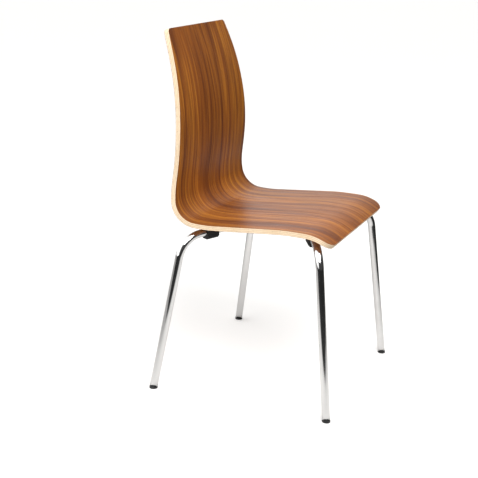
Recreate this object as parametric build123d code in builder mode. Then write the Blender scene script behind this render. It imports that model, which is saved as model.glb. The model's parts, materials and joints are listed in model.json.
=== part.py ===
"""Stacking chair: a moulded plywood shell on a chromed frame with four tube legs.

Millimetres, +Z up. The front is -Y and the sitter's left is +X. The origin is on the
floor, under the middle of the chair's bounding box.
"""

import os
from math import hypot

from build123d import *

# --- Shell -------------------------------------------------------------------------
# Corners of the seat and back's upper face as (y, z), from the front lip to the top
# edge, with the radius of the bend at each corner between the two ends.
PROFILE = [
    (-212.7, 415.1),
    (-178.0, 437.0),
    (-94.0, 437.0),
    (105.0, 416.4),
    (179.7, 420.8),
    (186.6, 491.6),
    (167.8, 678.7),
    (236.8, 860.0),
]
BEND_RADII = [118.0, 500.0, 330.0, 54.0, 208.0, 620.0]

# Layers of the lamination from the face down: node name and thickness.
LAYERS = [
    ("face_veneer", 0.6),
    ("core_ply_1", 2.4),
    ("core_ply_2", 1.65),
    ("core_ply_3", 2.4),
    ("core_ply_4", 1.65),
    ("core_ply_5", 2.4),
    ("back_veneer", 0.6),
]
SHELL_THICKNESS = sum(thickness for _, thickness in LAYERS)

SEAT_HALF_WIDTH = 205.0
# Half width of the shell seen from the front, as (x, z), from the seat to the top edge.
BACK_EDGE = [(205.0, 415.0), (197.5, 482.0), (193.0, 600.0), (179.0, 731.0), (153.5, 862.0)]
BACK_EDGE_TOP_SLOPE = (-0.3, 1.0)
BACK_TAPER_FROM_Y = 100.0
FRONT_CORNER_RADIUS = 28.0
TOP_CORNER_RADIUS = 12.0

# --- Frame -------------------------------------------------------------------------
TUBE_RADIUS = 9.5
TUBE_WALL = 1.5
TUBE_BORE_RADIUS = TUBE_RADIUS - TUBE_WALL
# A leg's line meets the floor at its foot point and the line of its seat arm at its
# corner point. The two arms of one tube meet at the apex on the centre line.
FRONT_FOOT = Vector(230.4, -237.5, 0)
FRONT_CORNER = Vector(201.1, -181.5, 404.5)
FRONT_APEX = Vector(0, -63.5, 406.6)
REAR_FOOT = Vector(261.7, 200.6, 0)
REAR_CORNER = Vector(220.4, 151.2, 383.3)
REAR_APEX = Vector(0, 36.5, 395.1)
FRONT_BEND = 55.0
REAR_BEND = 60.0
APEX_BEND = 60.0

# --- Foot inserts ------------------------------------------------------------------
FOOT_RADIUS = 10.0
FOOT_HEIGHT = 4.5
FOOT_PLUG_LENGTH = 22.0
FOOT_PLUG_TAPER = 1.0  # degrees
FOOT_EDGE = 0.8

# --- Shell fixing ------------------------------------------------------------------
PLATE_CENTRE_Y = -14.5
PLATE_WIDTH = 100.0
PLATE_LENGTH = 136.0
PLATE_CORNER = 14.0
PLATE_THICKNESS = 4.0
PAD_THICKNESS = 3.0
SCREW_SPACING = 72.0
SCREW_RADIUS = 3.0
SCREW_LENGTH = 16.0
SCREW_HEAD_RADIUS = 5.5
SCREW_HEAD_HEIGHT = 3.6
SCREW_HEAD_ROUNDING = 1.4
SCREW_SOCKET_FLATS = 4.0
SCREW_SOCKET_DEPTH = 2.2
SCREW_HOLE_RADIUS = 3.3
WASHER_RADIUS = 7.0
WASHER_THICKNESS = 1.6
INSERT_RADIUS = 5.0
INSERT_FROM_LAYER = 2  # the inserts stop short of the face veneer and the ply under it
INSERT_LENGTH = sum(thickness for _, thickness in LAYERS[INSERT_FROM_LAYER:])

# --- Buffers between the frame's arms and the shells above and below ----------------
BUFFER_FROM_CORNER = 82.0
BUFFER_LENGTH = 34.0
BUFFER_WIDTH = 25.0
BUFFER_PAD_WIDTH = 18.0
BUFFER_REACH_DOWN = 7.0
BUFFER_REACH_UP = 30.0
BUFFER_ROUNDING = 2.0
BUFFER_SLIT = 1.2

BEYOND = 400.0  # further than any edge of the chair, for cutting solids

os.makedirs("parts", exist_ok=True)


def profile_line(depth):
    """The corners and bend radii of the profile, moved from the face into the shell."""
    directions = []
    for (y0, z0), (y1, z1) in zip(PROFILE, PROFILE[1:]):
        length = hypot(y1 - y0, z1 - z0)
        directions.append(((y1 - y0) / length, (z1 - z0) / length))
    inwards = [(dz, -dy) for dy, dz in directions]
    before = [inwards[0]] + inwards
    after = inwards + [inwards[-1]]
    corners = []
    for (y, z), (ay, az), (by, bz) in zip(PROFILE, before, after):
        share = depth / (1 + ay * by + az * bz)
        corners.append((y + share * (ay + by), z + share * (az + bz)))
    radii = []
    for radius, (ay, az), (by, bz) in zip(BEND_RADII, directions, directions[1:]):
        turns_up = ay * bz - az * by > 0
        radii.append(radius + depth if turns_up else radius - depth)
    return corners, radii


def band(top_depth, bottom_depth):
    """The profile's face between two depths, on the plane through the centre line."""
    with BuildSketch(Plane.YZ) as section:
        with BuildLine():
            top, top_radii = profile_line(top_depth)
            bottom, bottom_radii = profile_line(bottom_depth)
            FilletPolyline(*top, radius=top_radii)
            FilletPolyline(*bottom, radius=bottom_radii)
            Line(top[0], bottom[0])
            Line(top[-1], bottom[-1])
        make_face()
    return section.sketch


def export(part, name):
    """Label a finished piece and write it to its own file."""
    part.label = name
    export_step(part, f"parts/{name}.step")


def seat_frame():
    """The plane of the shell's underside where the fixing plate lies, +Z up."""
    (y0, z0), (y1, z1) = profile_line(SHELL_THICKNESS)[0][2:4]
    height = z0 + (PLATE_CENTRE_Y - y0) * (z1 - z0) / (y1 - y0)
    slope = Vector(0, y1 - y0, z1 - z0)
    return Plane((0, PLATE_CENTRE_Y, height), x_dir=(1, 0, 0), z_dir=Vector(1, 0, 0).cross(slope))


def lip_frame():
    """The plane of the front lip's face, its origin on the front edge, +Y to the rear."""
    (y0, z0), (y1, z1) = PROFILE[:2]
    slope = Vector(0, y1 - y0, z1 - z0)
    return Plane((0, y0, z0), x_dir=(1, 0, 0), z_dir=Vector(1, 0, 0).cross(slope))


# The whole shell, from which the layers are cut, so that all share one outline.
with BuildPart() as shell:
    extrude(band(0, SHELL_THICKNESS), amount=SEAT_HALF_WIDTH, both=True)
    # Outside of the back's tapering sides, cut away behind the middle of the seat.
    with BuildSketch(Plane.XZ.offset(-BACK_TAPER_FROM_Y)):
        with BuildLine():
            edge = Spline(*BACK_EDGE, tangents=[(0, 1), BACK_EDGE_TOP_SLOPE])
            Polyline(edge @ 1, (BEYOND, BACK_EDGE[-1][1]), (BEYOND, BACK_EDGE[0][1]), edge @ 0)
        make_face()
        mirror(about=Plane.YZ)
    extrude(amount=-BEYOND, mode=Mode.SUBTRACT)
    # Front corners, rounded square to the lip.
    with BuildSketch(lip_frame()):
        with Locations((SEAT_HALF_WIDTH - FRONT_CORNER_RADIUS / 2, FRONT_CORNER_RADIUS / 2)):
            Rectangle(FRONT_CORNER_RADIUS, FRONT_CORNER_RADIUS)
        with Locations((SEAT_HALF_WIDTH - FRONT_CORNER_RADIUS, FRONT_CORNER_RADIUS)):
            Circle(FRONT_CORNER_RADIUS, mode=Mode.SUBTRACT)
        mirror(about=Plane.YZ)
    extrude(amount=BEYOND, both=True, mode=Mode.SUBTRACT)
    top_end = shell.faces().filter_by(GeomType.PLANE).sort_by(Axis.Z)[-1]
    fillet(top_end.edges().filter_by(Axis.X, reverse=True), radius=TOP_CORNER_RADIUS)

UNDERSIDE = seat_frame()
SCREW_PLACES = GridLocations(SCREW_SPACING, SCREW_SPACING, 2, 2)

# --- Laminated shell: one node for each layer ---------------------------------------
depth = 0.0
for number, (name, thickness) in enumerate(LAYERS):
    with BuildPart() as layer:
        extrude(band(depth, depth + thickness), amount=BEYOND, both=True)
        add(shell.part, mode=Mode.INTERSECT)
        if number >= INSERT_FROM_LAYER:
            with BuildSketch(UNDERSIDE):
                with SCREW_PLACES:
                    Circle(INSERT_RADIUS)
            extrude(amount=INSERT_LENGTH, mode=Mode.SUBTRACT)
    export(layer.part, name)
    depth += thickness

# --- Threaded inserts, screws, washers, plate and pad --------------------------------
with BuildPart() as inserts:
    with BuildSketch(UNDERSIDE):
        with SCREW_PLACES:
            Circle(INSERT_RADIUS)
            Circle(SCREW_RADIUS, mode=Mode.SUBTRACT)
    extrude(amount=INSERT_LENGTH)
export(inserts.part, "threaded_inserts")

with BuildPart() as above_shell:
    with BuildSketch(Plane.YZ):
        with BuildLine():
            lower, lower_radii = profile_line(SHELL_THICKNESS)
            FilletPolyline(*lower, radius=lower_radii)
            Line(lower[-1], (lower[0][0], lower[-1][1]))
            Line((lower[0][0], lower[-1][1]), lower[0])
        make_face()
    extrude(amount=SEAT_HALF_WIDTH, both=True)

with BuildPart() as pad:
    with BuildSketch(UNDERSIDE.offset(-PAD_THICKNESS)):
        RectangleRounded(PLATE_WIDTH, PLATE_LENGTH, PLATE_CORNER)
        with SCREW_PLACES:
            Circle(SCREW_HOLE_RADIUS, mode=Mode.SUBTRACT)
    extrude(amount=PAD_THICKNESS)
    add(above_shell.part, mode=Mode.SUBTRACT)
export(pad.part, "spacer_pad")

PLATE_BOTTOM = UNDERSIDE.offset(-PAD_THICKNESS - PLATE_THICKNESS)
with BuildPart() as plate:
    with BuildSketch(PLATE_BOTTOM):
        RectangleRounded(PLATE_WIDTH, PLATE_LENGTH, PLATE_CORNER)
        with SCREW_PLACES:
            Circle(SCREW_HOLE_RADIUS, mode=Mode.SUBTRACT)
    extrude(amount=PLATE_THICKNESS)
export(plate.part, "fixing_plate")

with BuildPart() as washers:
    with BuildSketch(PLATE_BOTTOM):
        with SCREW_PLACES:
            Circle(WASHER_RADIUS)
            Circle(SCREW_HOLE_RADIUS, mode=Mode.SUBTRACT)
    extrude(amount=-WASHER_THICKNESS)
export(washers.part, "washers")

HEAD_SEAT = PLATE_BOTTOM.offset(-WASHER_THICKNESS)
with BuildPart() as screws:
    with BuildSketch(HEAD_SEAT):
        with SCREW_PLACES:
            Circle(SCREW_RADIUS)
    extrude(amount=SCREW_LENGTH)
    with BuildSketch(HEAD_SEAT):
        with SCREW_PLACES:
            Circle(SCREW_HEAD_RADIUS)
    extrude(amount=-SCREW_HEAD_HEIGHT)
    head_tops = screws.faces().filter_by(HEAD_SEAT).group_by(Axis(HEAD_SEAT.origin, HEAD_SEAT.z_dir))[0]
    fillet(head_tops.edges(), radius=SCREW_HEAD_ROUNDING)
    with BuildSketch(HEAD_SEAT.offset(-SCREW_HEAD_HEIGHT)):
        with SCREW_PLACES:
            RegularPolygon(SCREW_SOCKET_FLATS / 2, 6, major_radius=False)
    extrude(amount=SCREW_SOCKET_DEPTH, mode=Mode.SUBTRACT)
export(screws.part, "fixing_screws")


# --- Frame: one bent tube for each pair of legs --------------------------------------
def mirrored(point):
    """The same point on the other side of the centre line."""
    return Vector(-point.X, point.Y, point.Z)


def leg_plane(foot, corner):
    """The plane on the floor end of a leg, its normal up the leg."""
    return Plane(foot, z_dir=corner - foot)


def bent_tube(foot, corner, apex, bend):
    """A hollow tube up one leg, across under the seat and down the other leg."""
    end = leg_plane(foot, corner).offset(FOOT_HEIGHT)
    with BuildPart() as tube:
        with BuildLine() as path:
            FilletPolyline(
                end.origin, corner, apex, mirrored(corner), mirrored(end.origin),
                radius=[bend, APEX_BEND, bend],
            )
        with BuildSketch(end):
            Circle(TUBE_RADIUS)
            Circle(TUBE_BORE_RADIUS, mode=Mode.SUBTRACT)
        sweep(path=path.line)
    return tube.part


export(bent_tube(FRONT_FOOT, FRONT_CORNER, FRONT_APEX, FRONT_BEND), "front_leg_tube")
export(bent_tube(REAR_FOOT, REAR_CORNER, REAR_APEX, REAR_BEND), "rear_leg_tube")


# --- Foot inserts and buffers ---------------------------------------------------------
def foot_insert(foot, corner):
    """A plug in the tube's end with a glide below it, cut flat on the floor."""
    base = leg_plane(foot, corner)
    with BuildPart() as insert:
        with BuildSketch(base.offset(-FOOT_HEIGHT)):
            Circle(FOOT_RADIUS)
        extrude(amount=2 * FOOT_HEIGHT)
        with BuildSketch(base.offset(FOOT_HEIGHT)):
            Circle(TUBE_BORE_RADIUS)
        extrude(amount=FOOT_PLUG_LENGTH, taper=FOOT_PLUG_TAPER)
        split(bisect_by=Plane.XY, keep=Keep.TOP)
        chamfer(insert.faces().sort_by(Axis.Z)[0].edges(), length=FOOT_EDGE)
    return insert.part


def buffer_block(corner, apex):
    """A rubber block round an arm, up to the shell and down to the seat of a chair below."""
    along = (apex - corner).normalized()
    middle = Plane(corner + along * BUFFER_FROM_CORNER, x_dir=Vector(0, 0, 1).cross(along), z_dir=along)
    with BuildPart() as block:
        with BuildSketch(middle):
            with Locations((0, BUFFER_REACH_UP / 2)):
                RectangleRounded(BUFFER_WIDTH, BUFFER_REACH_UP + BUFFER_WIDTH, BUFFER_ROUNDING)
            with Locations((0, -(TUBE_RADIUS + BUFFER_REACH_DOWN) / 2)):
                RectangleRounded(BUFFER_PAD_WIDTH, TUBE_RADIUS + BUFFER_REACH_DOWN, BUFFER_ROUNDING)
            Circle(TUBE_RADIUS, mode=Mode.SUBTRACT)
            with Locations((BUFFER_WIDTH / 2, 0)):
                Rectangle(BUFFER_WIDTH, BUFFER_SLIT, mode=Mode.SUBTRACT)
        extrude(amount=BUFFER_LENGTH / 2, both=True)
        add(above_shell.part, mode=Mode.SUBTRACT)
    return block.part


for end_name, foot, corner, apex in (
    ("front", FRONT_FOOT, FRONT_CORNER, FRONT_APEX),
    ("rear", REAR_FOOT, REAR_CORNER, REAR_APEX),
):
    left_foot = foot_insert(foot, corner)
    left_buffer = buffer_block(corner, apex)
    export(left_foot, f"foot_{end_name}_left")
    export(mirror(left_foot, about=Plane.YZ), f"foot_{end_name}_right")
    export(left_buffer, f"buffer_{end_name}_left")
    export(mirror(left_buffer, about=Plane.YZ), f"buffer_{end_name}_right")
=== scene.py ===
"""Stacking chair: looks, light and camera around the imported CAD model. Metres, +Z up, front -Y."""

import json
import math

import bpy
from mathutils import Matrix, Vector


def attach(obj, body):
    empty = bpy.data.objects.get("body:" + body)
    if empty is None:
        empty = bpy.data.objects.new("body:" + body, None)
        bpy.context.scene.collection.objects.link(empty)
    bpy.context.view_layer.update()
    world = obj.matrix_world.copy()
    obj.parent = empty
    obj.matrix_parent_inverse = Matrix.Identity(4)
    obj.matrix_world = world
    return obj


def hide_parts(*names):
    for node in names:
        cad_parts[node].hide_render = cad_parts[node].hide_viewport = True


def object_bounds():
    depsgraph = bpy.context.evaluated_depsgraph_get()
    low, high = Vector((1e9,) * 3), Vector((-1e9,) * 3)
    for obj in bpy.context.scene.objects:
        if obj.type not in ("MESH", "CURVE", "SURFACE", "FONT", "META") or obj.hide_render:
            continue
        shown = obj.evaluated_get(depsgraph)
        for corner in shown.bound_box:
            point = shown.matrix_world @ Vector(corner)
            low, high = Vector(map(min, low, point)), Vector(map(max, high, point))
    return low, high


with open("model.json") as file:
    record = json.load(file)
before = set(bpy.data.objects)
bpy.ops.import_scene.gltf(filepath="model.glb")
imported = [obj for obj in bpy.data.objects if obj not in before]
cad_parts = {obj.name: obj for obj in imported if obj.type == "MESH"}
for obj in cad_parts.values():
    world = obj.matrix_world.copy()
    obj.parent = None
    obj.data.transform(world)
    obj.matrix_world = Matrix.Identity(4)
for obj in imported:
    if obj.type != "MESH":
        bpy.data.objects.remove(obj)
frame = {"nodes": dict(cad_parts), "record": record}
CAD_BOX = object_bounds()
NODES = frame["nodes"]

# --- Camera --------------------------------------------------------------------------
CAMERA_PLACE = Vector((-2.3162, -0.8769, 1.1106))
CAMERA_HEADING = math.radians(22.877)  # from +X towards +Y
CAMERA_DIP = math.radians(17.266)
CAMERA_ROLL = math.radians(2.563)
CAMERA_LENS = 77.65  # mm
SENSOR_WIDTH = 36.0  # mm

# --- Tubes: the CAD source's own bends, in metres ----------------------------------------
TUBE_RADIUS = 0.0095
FOOT_HEIGHT = 0.0045
APEX_BEND = 0.060
TUBES = {  # node: where a leg's line meets the floor, its corner, the apex, the corner's bend
    "front_leg_tube": ((0.2304, -0.2375, 0.0), (0.2011, -0.1815, 0.4045), (0.0, -0.0635, 0.4066), 0.055),
    "rear_leg_tube": ((0.2617, 0.2006, 0.0), (0.2204, 0.1512, 0.3833), (0.0, 0.0365, 0.3951), 0.060),
}
TUBE_SIDES = 64
BEND_STEP = math.radians(2.0)
RUN_STEP = 0.02

# --- Studio: fixed directions, named as the camera sees the chair ------------------------
TO_RIGHT = (0.39, -0.92, 0.0)
TO_LEFT = (-0.39, 0.92, 0.0)
TO_CAMERA = (-0.92, -0.39, 0.0)
AWAY = (0.92, 0.39, 0.0)
# A soft box: cosines of the angle to its direction where it starts and where it is full,
# then its strength outside and inside.
SKY_ABOVE = (0.52, 0.72, 0.0, 1.25)
SKY_LEFT = (0.35, 0.60, 0.0, 1.5)
SKY_BEHIND = (0.80, 0.97, 0.0, 1.15)
ROOM_GLOW = 0.06
PAINTED_LIT_NEAR = 0.75  # metres of floor with painted light from the chair's middle towards the camera; painted shade beyond
PAINTED_LIT_RIGHT = 1.0  # and to the right
PAINTED_LIT_FADE = 0.25  # metres over which its edges fade
PAINTED_LIGHT_POOL = (0.25, 1.10, 0.78, 0.36)  # painted pool of light: metres from the middle, then the share of paper colour there
PAPER_COLOUR = (0.92, 0.91, 0.895)
# Painted shade: the floor's colour beyond the sheet, which other surfaces see as a dark room.
PAINTED_SHADE_COLOUR = (0.02, 0.02, 0.02)
FLOOR_GLOW = 0.09  # emission that only the camera sees
FLOOR_HALF = 30.0
KEY_PLACE = (-1.5, -1.1, 2.3)
KEY_TARGET = (0.0, 0.1, 0.8)
KEY_SIDE = 1.6
KEY_POWER = 62.0

# --- Colours, linear -----------------------------------------------------------------
FACE_DARK = (0.165, 0.047, 0.010)
FACE_MIDDLE = (0.325, 0.106, 0.015)
FACE_LIGHT = (0.500, 0.192, 0.024)
FACE_LINE = (0.105, 0.029, 0.009)
FACE_PORE = (0.070, 0.022, 0.008)
FACE_TINTS = ((0.94, 0.86, 0.90), (1.0, 1.0, 1.0))
GRAIN_SWAY = 0.030  # metres
# Each ply's lighter and darker colour.
PLY_LONG = ((1.00, 0.82, 0.60), (0.95, 0.74, 0.50))
PLY_CROSS = ((0.86, 0.64, 0.42), (0.76, 0.54, 0.34))
LINE_SHARE = 0.60  # how strongly each mark covers the wood under it
PORE_SHARE = 0.50
FLECK_SHARE = 0.40
FLECK_SHADE = 0.55


# --- Node helpers ----------------------------------------------------------------------
def combined(tree, operation, first, second):
    """A maths node on two values, each a number or another node's output."""
    node = tree.nodes.new("ShaderNodeMath")
    node.operation = operation
    for socket, value in zip(node.inputs, (first, second)):
        if isinstance(value, (int, float)):
            socket.default_value = value
        else:
            tree.links.new(value, socket)
    return node.outputs["Value"]


class Shader:
    """A node material being built: the tree, its Principled shader and a few shorthands."""

    def __init__(self, name):
        self.material = bpy.data.materials.new(name)
        self.material.use_nodes = True
        self.tree = self.material.node_tree
        self.surface = self.tree.nodes["Principled BSDF"]
        self.place = self.add("ShaderNodeTexCoord").outputs["Object"]

    def add(self, kind, **values):
        node = self.tree.nodes.new(kind)
        for name, value in values.items():
            setattr(node, name, value)
        return node

    def link(self, source, target):
        self.tree.links.new(source, target)

    def set(self, **values):
        """Values that are the same all over the surface, on the shader's own sockets."""
        for name, value in values.items():
            self.surface.inputs[name.replace("_", " ")].default_value = value

    def scaled(self, scale, source=None):
        """The object's coordinates, each multiplied by its own number of repeats a metre."""
        mapping = self.add("ShaderNodeMapping")
        mapping.inputs["Scale"].default_value = scale
        self.link(source or self.place, mapping.inputs["Vector"])
        return mapping.outputs["Vector"]

    def noise(self, scale, detail=2.0, source=None):
        """Noise of 0 to 1, with its own number of repeats a metre each way."""
        texture = self.add("ShaderNodeTexNoise")
        texture.inputs["Scale"].default_value = 1.0
        texture.inputs["Detail"].default_value = detail
        self.link(self.scaled(scale, source), texture.inputs["Vector"])
        return texture.outputs["Fac"]

    def ramp(self, value, stops):
        """A colour for a value, from (position, colour) stops."""
        node = self.add("ShaderNodeValToRGB")
        elements = node.color_ramp.elements
        while len(elements) < len(stops):
            elements.new(0.5)
        for element, (position, colour) in zip(elements, stops):
            element.position = position
            element.color = (*colour, 1.0)
        self.link(value, node.inputs["Fac"])
        return node.outputs["Color"]

    def span(self, value, low, high, out_low=0.0, out_high=1.0):
        """A value mapped from one span to another, held at the ends."""
        node = self.add("ShaderNodeMapRange")
        for socket, number in zip(node.inputs[1:5], (low, high, out_low, out_high)):
            socket.default_value = number
        self.link(value, node.inputs["Value"])
        return node.outputs["Result"]

    def math(self, operation, first, second):
        return combined(self.tree, operation, first, second)

    def mix(self, share, first, second, blend="MIX"):
        """Two colours mixed; a colour is a tuple or another node's output."""
        node = self.add("ShaderNodeMix", data_type="RGBA", blend_type=blend)
        colour_sockets = [s for s in node.inputs if s.type == "RGBA"]
        for socket, value in zip([node.inputs["Factor"], *colour_sockets], (share, first, second)):
            if isinstance(value, (int, float)):
                socket.default_value = value
            elif isinstance(value, tuple):
                socket.default_value = (*value, 1.0)
            else:
                self.link(value, socket)
        return [s for s in node.outputs if s.type == "RGBA"][0]

    def bump(self, height, depth, strength=1.0):
        """Relief from a height of 0 to 1, depth in metres."""
        node = self.add("ShaderNodeBump")
        node.inputs["Strength"].default_value = strength
        node.inputs["Distance"].default_value = depth
        self.link(height, node.inputs["Height"])
        self.link(node.outputs["Normal"], self.surface.inputs["Normal"])

    def colour(self, source):
        self.link(source, self.surface.inputs["Base Color"])

    def roughness(self, source):
        self.link(source, self.surface.inputs["Roughness"])


# --- Materials -------------------------------------------------------------------------
def face_wood():
    """Striped dark veneer under satin lacquer, the grain running along the shell."""
    wood = Shader("face_wood")
    # The grain wanders a little from side to side on its way along the shell.
    sway = wood.math("SUBTRACT", wood.noise((5.0, 3.2, 3.2), detail=1.0), 0.5)
    parts = wood.add("ShaderNodeSeparateXYZ")
    wood.link(wood.place, parts.inputs["Vector"])
    swayed = wood.add("ShaderNodeCombineXYZ")
    across = wood.math("ADD", parts.outputs["X"], wood.math("MULTIPLY", sway, GRAIN_SWAY))
    wood.link(across, swayed.inputs["X"])
    wood.link(parts.outputs["Y"], swayed.inputs["Y"])
    wood.link(parts.outputs["Z"], swayed.inputs["Z"])
    grain = swayed.outputs["Vector"]
    broad = wood.noise((30.0, 1.6, 1.6), detail=2.0, source=grain)
    narrow = wood.noise((130.0, 4.0, 4.0), detail=3.0, source=grain)
    lines = wood.noise((240.0, 7.0, 7.0), detail=3.0, source=grain)
    figure = wood.math("ADD", wood.math("MULTIPLY", broad, 0.50), wood.math("MULTIPLY", narrow, 0.50))
    base = wood.ramp(figure, [(0.38, FACE_DARK), (0.50, FACE_MIDDLE), (0.62, FACE_LIGHT)])
    drift = wood.noise((9.0, 0.8, 0.8), source=grain)
    tint = wood.ramp(drift, [(0.35, FACE_TINTS[0]), (0.65, FACE_TINTS[1])])
    base = wood.mix(1.0, base, tint, blend="MULTIPLY")
    streak = wood.span(lines, 0.50, 0.66)
    base = wood.mix(wood.math("MULTIPLY", streak, LINE_SHARE), base, FACE_LINE)
    pores = wood.span(wood.noise((1700.0, 70.0, 70.0), detail=1.0, source=grain), 0.60, 0.72)
    base = wood.mix(wood.math("MULTIPLY", pores, PORE_SHARE), base, FACE_PORE)
    wood.colour(base)
    wood.roughness(wood.span(wood.noise((60.0, 9.0, 9.0)), 0.3, 0.7, 0.36, 0.46))
    wood.set(Specular_IOR_Level=0.35, Coat_Weight=0.10, Coat_Roughness=0.26)
    wood.bump(wood.math("SUBTRACT", 1.0, pores), 0.00012, strength=0.5)
    return wood.material


def ply(name, colours, fibre):
    """The lacquered edge of one ply: fibres or end grain, with a few darker flecks."""
    edge = Shader(name)
    fibres = edge.noise(fibre, detail=4.0)
    blotches = edge.noise((30.0, 22.0, 22.0), detail=2.0)
    value = edge.math("ADD", edge.math("MULTIPLY", fibres, 0.6), edge.math("MULTIPLY", blotches, 0.4))
    light, dark = colours
    base = edge.ramp(value, [(0.40, dark), (0.60, light)])
    flecks = edge.span(edge.noise((520.0, 260.0, 260.0), detail=1.0), 0.64, 0.74)
    fleck_colour = tuple(FLECK_SHADE * part for part in dark)
    base = edge.mix(edge.math("MULTIPLY", flecks, FLECK_SHARE), base, fleck_colour)
    edge.colour(base)
    edge.roughness(edge.span(fibres, 0.3, 0.7, 0.42, 0.56))
    edge.set(Specular_IOR_Level=0.35)
    edge.bump(fibres, 0.00015, strength=0.5)
    return edge.material


def chrome():
    """Polished chrome plate with faint haze and fine wiping marks."""
    plate = Shader("chrome_tube")
    haze = plate.noise((14.0, 14.0, 14.0), detail=3.0)
    marks = plate.noise((700.0, 700.0, 26.0), detail=2.0)
    plate.colour(plate.ramp(haze, [(0.35, (0.78, 0.775, 0.77)), (0.65, (0.87, 0.865, 0.86))]))
    mixed = plate.math("ADD", plate.math("MULTIPLY", haze, 0.6), plate.math("MULTIPLY", marks, 0.4))
    plate.roughness(plate.span(mixed, 0.3, 0.7, 0.05, 0.13))
    plate.set(Metallic=1.0)
    plate.bump(marks, 0.00001, strength=0.25)
    return plate.material


def zinc_steel():
    """Bright zinc plate, slightly mottled."""
    zinc = Shader("zinc_steel")
    mottle = zinc.noise((260.0, 260.0, 260.0), detail=3.0)
    zinc.colour(zinc.ramp(mottle, [(0.35, (0.50, 0.51, 0.53)), (0.65, (0.66, 0.67, 0.69))]))
    zinc.roughness(zinc.span(mottle, 0.3, 0.7, 0.24, 0.38))
    zinc.set(Metallic=1.0)
    zinc.bump(mottle, 0.00004, strength=0.4)
    return zinc.material


def black_steel():
    """Black powder coat with its fine orange-peel texture."""
    coat = Shader("black_steel")
    peel = coat.noise((900.0, 900.0, 900.0), detail=2.0)
    worn = coat.noise((35.0, 35.0, 35.0), detail=3.0)
    coat.colour(coat.ramp(worn, [(0.35, (0.018, 0.018, 0.019)), (0.70, (0.032, 0.032, 0.033))]))
    coat.roughness(coat.span(peel, 0.3, 0.7, 0.42, 0.58))
    coat.bump(peel, 0.0001, strength=0.6)
    return coat.material


def moulded(name, dark, light, rough, grain):
    """Moulded rubber or nylon: a matt spark texture and a little dust."""
    skin = Shader(name)
    spark = skin.noise((grain, grain, grain), detail=2.0)
    dust = skin.noise((45.0, 45.0, 45.0), detail=3.0)
    skin.colour(skin.ramp(dust, [(0.35, dark), (0.75, light)]))
    skin.roughness(skin.span(spark, 0.3, 0.7, rough - 0.08, rough + 0.08))
    skin.bump(spark, 0.00012, strength=0.5)
    return skin.material


def make_materials():
    return {
        "face_wood": face_wood(),
        "ply_long": ply("ply_long", PLY_LONG, (700.0, 60.0, 60.0)),
        "ply_cross": ply("ply_cross", PLY_CROSS, (900.0, 900.0, 900.0)),
        "chrome_tube": chrome(),
        "zinc_steel": zinc_steel(),
        "black_steel": black_steel(),
        "rubber": moulded("rubber", (0.012, 0.012, 0.013), (0.030, 0.030, 0.031), 0.66, 1200.0),
        "foot_plastic": moulded("foot_plastic", (0.010, 0.010, 0.011), (0.024, 0.024, 0.025), 0.45, 1500.0),
    }


def dress_nodes(materials):
    """Every CAD node takes the material of the slot that the record gives it."""
    slots = {part["node"]: part["material_slot"] for part in frame["record"]["subparts"]}
    for name, node in NODES.items():
        for slot in node.material_slots:
            slot.link = "OBJECT"
            slot.material = materials[slots[name]]


# --- Tubes -----------------------------------------------------------------------------
def rounded_route(corners, radii):
    """Points along straight runs joined by tangent arcs, close together in the bends."""
    route = [corners[0]]
    for before, corner, after, radius in zip(corners, corners[1:], corners[2:], radii):
        coming = (corner - before).normalized()
        leaving = (after - corner).normalized()
        turn = coming.angle(leaving)
        start = corner - coming * radius * math.tan(turn / 2)
        inwards = (leaving - coming * coming.dot(leaving)).normalized()
        centre = start + inwards * radius
        run = (start - route[-1]).length
        run_count = math.ceil(run / RUN_STEP)
        for _ in range(run_count - 1):
            route.append(route[-1] + coming * run / run_count)
        count = math.ceil(turn / BEND_STEP)
        for step in range(count + 1):
            angle = turn * step / count
            route.append(centre + radius * (math.sin(angle) * coming - math.cos(angle) * inwards))
    run = corners[-1] - route[-1]
    count = math.ceil(run.length / RUN_STEP)
    last = route[-1]
    route += [last + run * step / count for step in range(1, count + 1)]
    return route


def tube_mesh(name, route, radius, sides):
    """A round bar swept along a route, with UVs in metres: round it, then along it."""
    side_way = Vector((0.0, 0.0, 1.0)).cross(route[1] - route[0]).normalized()
    angles = [2 * math.pi * side / sides for side in range(sides)]
    rings = []
    distances = []
    travelled = 0.0
    for index, point in enumerate(route):
        before = route[max(index - 1, 0)]
        after = route[min(index + 1, len(route) - 1)]
        along = (after - before).normalized()
        side_way = (side_way - along * side_way.dot(along)).normalized()
        other_way = along.cross(side_way)
        travelled += (point - before).length
        distances.append(travelled)
        rings.append([point + radius * (math.cos(a) * side_way + math.sin(a) * other_way) for a in angles])
    vertices = [corner for ring in rings for corner in ring]
    facet = 2 * math.pi * radius / sides
    faces = []
    uvs = []
    for row in range(len(rings) - 1):
        for side in range(sides):
            beside = (side + 1) % sides
            here = row * sides
            there = here + sides
            faces.append((here + side, here + beside, there + beside, there + side))
            near, far = distances[row], distances[row + 1]
            left, right = side * facet, (side + 1) * facet
            uvs += [(left, near), (right, near), (right, far), (left, far)]
    faces.append(tuple(reversed(range(sides))))
    faces.append(tuple(range((len(rings) - 1) * sides, len(rings) * sides)))
    uvs += [(0.0, 0.0)] * (2 * sides)
    mesh = bpy.data.meshes.new(name)
    mesh.from_pydata(vertices, [], faces)
    layer = mesh.uv_layers.new(name="around_and_along")
    for loop, uv in zip(layer.data, uvs):
        loop.uv = uv
    for face in mesh.polygons:
        face.use_smooth = len(face.vertices) == 4
    return mesh


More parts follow.
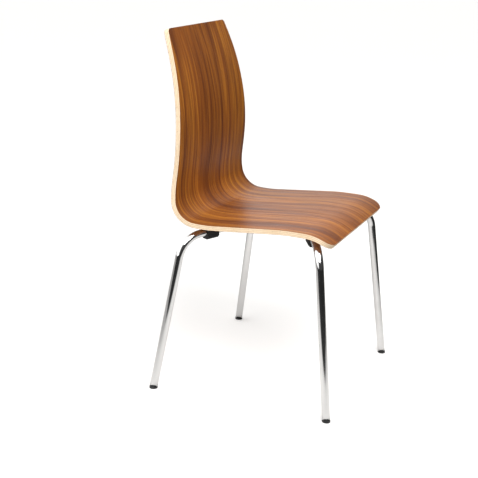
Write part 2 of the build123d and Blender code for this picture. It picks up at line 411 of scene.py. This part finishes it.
def make_tubes(material):
    """The two bent tubes again, smooth enough for mirror chrome."""
    for node, (foot, corner, apex, bend) in TUBES.items():
        foot, corner, apex = Vector(foot), Vector(corner), Vector(apex)
        end = foot + (corner - foot).normalized() * FOOT_HEIGHT
        mirrored = [Vector((-point.x, point.y, point.z)) for point in (corner, end)]
        route = rounded_route([end, corner, apex, *mirrored], [bend, APEX_BEND, bend])
        mesh = tube_mesh(f"{node}_smooth", route, TUBE_RADIUS, TUBE_SIDES)
        mesh.materials.append(material)
        tube = bpy.data.objects.new(f"{node}_smooth", mesh)
        bpy.context.scene.collection.objects.link(tube)
        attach(tube, "root")
        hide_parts(node)


# --- Studio ----------------------------------------------------------------------------
def facing(tree, direction_socket, towards, low, high, out_low, out_high):
    """A smooth step of how far a direction or a place lies towards a fixed direction."""
    dot = tree.nodes.new("ShaderNodeVectorMath")
    dot.operation = "DOT_PRODUCT"
    dot.inputs[1].default_value = towards
    tree.links.new(direction_socket, dot.inputs[0])
    step = tree.nodes.new("ShaderNodeMapRange")
    step.interpolation_type = "SMOOTHSTEP"
    for socket, number in zip(step.inputs[1:5], (low, high, out_low, out_high)):
        socket.default_value = number
    tree.links.new(dot.outputs["Value"], step.inputs["Value"])
    return step.outputs["Result"]


def make_floor():
    """A wide white floor. To the other surfaces it is paper only in a sheet round the chair, with a painted
    pool of light fading outwards and painted shade beyond the sheet.
    """
    low, _ = CAD_BOX
    mesh = bpy.data.meshes.new("floor")
    signs = ((-1, -1), (1, -1), (1, 1), (-1, 1))
    corners = [(x * FLOOR_HALF, y * FLOOR_HALF, low.z) for x, y in signs]
    mesh.from_pydata(corners, [], [(0, 1, 2, 3)])
    floor = bpy.data.objects.new("floor", mesh)
    bpy.context.scene.collection.objects.link(floor)
    paper = Shader("floor_paper_painted_light")
    tree = paper.tree
    # Painted shade: outside a sheet round the chair, other surfaces see the paper as dark.
    near_end = facing(tree, paper.place, TO_CAMERA, PAINTED_LIT_NEAR, PAINTED_LIT_NEAR + PAINTED_LIT_FADE, 1.0, 0.0)
    right_end = facing(tree, paper.place, TO_RIGHT, PAINTED_LIT_RIGHT, PAINTED_LIT_RIGHT + PAINTED_LIT_FADE, 1.0, 0.0)
    painted_lit_sheet = combined(tree, "MULTIPLY", near_end, right_end)
    by_camera = paper.add("ShaderNodeLightPath").outputs["Is Camera Ray"]
    away = paper.add("ShaderNodeVectorMath", operation="LENGTH")
    paper.link(paper.place, away.inputs[0])
    # Painted light: inside the sheet the paper's colour fades with distance from the middle, a painted pool
    # of light.
    painted_light_pool = paper.span(away.outputs["Value"], *PAINTED_LIGHT_POOL)
    painted_light_share = combined(tree, "MULTIPLY", painted_lit_sheet, painted_light_pool)
    seen = combined(tree, "MAXIMUM", painted_light_share, by_camera)
    paper.colour(paper.ramp(seen, [(0.0, PAINTED_SHADE_COLOUR), (1.0, PAPER_COLOUR)]))
    paper.set(Roughness=0.9, Specular_IOR_Level=0.0)
    paper.link(by_camera, paper.surface.inputs["Emission Strength"])
    paper.set(Emission_Color=(FLOOR_GLOW, FLOOR_GLOW, FLOOR_GLOW, 1.0))
    mesh.materials.append(paper.material)


def make_world():
    """White to the camera; to the chair, soft boxes above, to the left and behind, in a dark room."""
    world = bpy.data.worlds.new("studio")
    bpy.context.scene.world = world
    world.use_nodes = True
    tree = world.node_tree
    background = tree.nodes["Background"]
    direction = tree.nodes.new("ShaderNodeTexCoord").outputs["Generated"]
    above = facing(tree, direction, (0.0, 0.0, 1.0), *SKY_ABOVE)
    left = facing(tree, direction, TO_LEFT, *SKY_LEFT)
    behind = facing(tree, direction, AWAY, *SKY_BEHIND)
    boxes = combined(tree, "MAXIMUM", combined(tree, "MAXIMUM", above, left), behind)
    room = combined(tree, "MAXIMUM", boxes, ROOM_GLOW)
    by_camera = tree.nodes.new("ShaderNodeLightPath").outputs["Is Camera Ray"]
    seen = tree.nodes.new("ShaderNodeMix")
    seen.data_type = "FLOAT"
    tree.links.new(by_camera, seen.inputs["Factor"])
    tree.links.new(room, seen.inputs[2])
    seen.inputs[3].default_value = 1.0
    tree.links.new(seen.outputs[0], background.inputs["Strength"])
    background.inputs["Color"].default_value = (1.0, 1.0, 1.0, 1.0)


def make_light(name, place, target, side, power):
    """A square soft box at a place, turned to a target."""
    data = bpy.data.lights.new(name, "AREA")
    data.shape = "SQUARE"
    data.size = side
    data.energy = power
    light = bpy.data.objects.new(name, data)
    light.location = place
    light.rotation_euler = (Vector(target) - Vector(place)).to_track_quat("-Z", "Y").to_euler()
    bpy.context.scene.collection.objects.link(light)


def make_camera():
    """The camera, with its roll about the line of sight."""
    forward = Vector((
        math.cos(CAMERA_HEADING) * math.cos(CAMERA_DIP),
        math.sin(CAMERA_HEADING) * math.cos(CAMERA_DIP),
        -math.sin(CAMERA_DIP),
    ))
    level = Vector((math.sin(CAMERA_HEADING), -math.cos(CAMERA_HEADING), 0.0))
    above = level.cross(forward)
    right = math.cos(CAMERA_ROLL) * level + math.sin(CAMERA_ROLL) * above
    up = math.cos(CAMERA_ROLL) * above - math.sin(CAMERA_ROLL) * level
    data = bpy.data.cameras.new("camera")
    data.lens = CAMERA_LENS
    data.sensor_width = SENSOR_WIDTH
    camera = bpy.data.objects.new("camera", data)
    turned = Matrix((right, up, -forward)).transposed().to_4x4()
    camera.matrix_world = Matrix.Translation(CAMERA_PLACE) @ turned
    bpy.context.scene.collection.objects.link(camera)
    bpy.context.scene.camera = camera


make_camera()
MATERIALS = make_materials()
dress_nodes(MATERIALS)
make_tubes(MATERIALS["chrome_tube"])
make_floor()
make_world()
make_light("key", KEY_PLACE, KEY_TARGET, KEY_SIDE, KEY_POWER)
bpy.context.scene.view_settings.view_transform = "Standard"
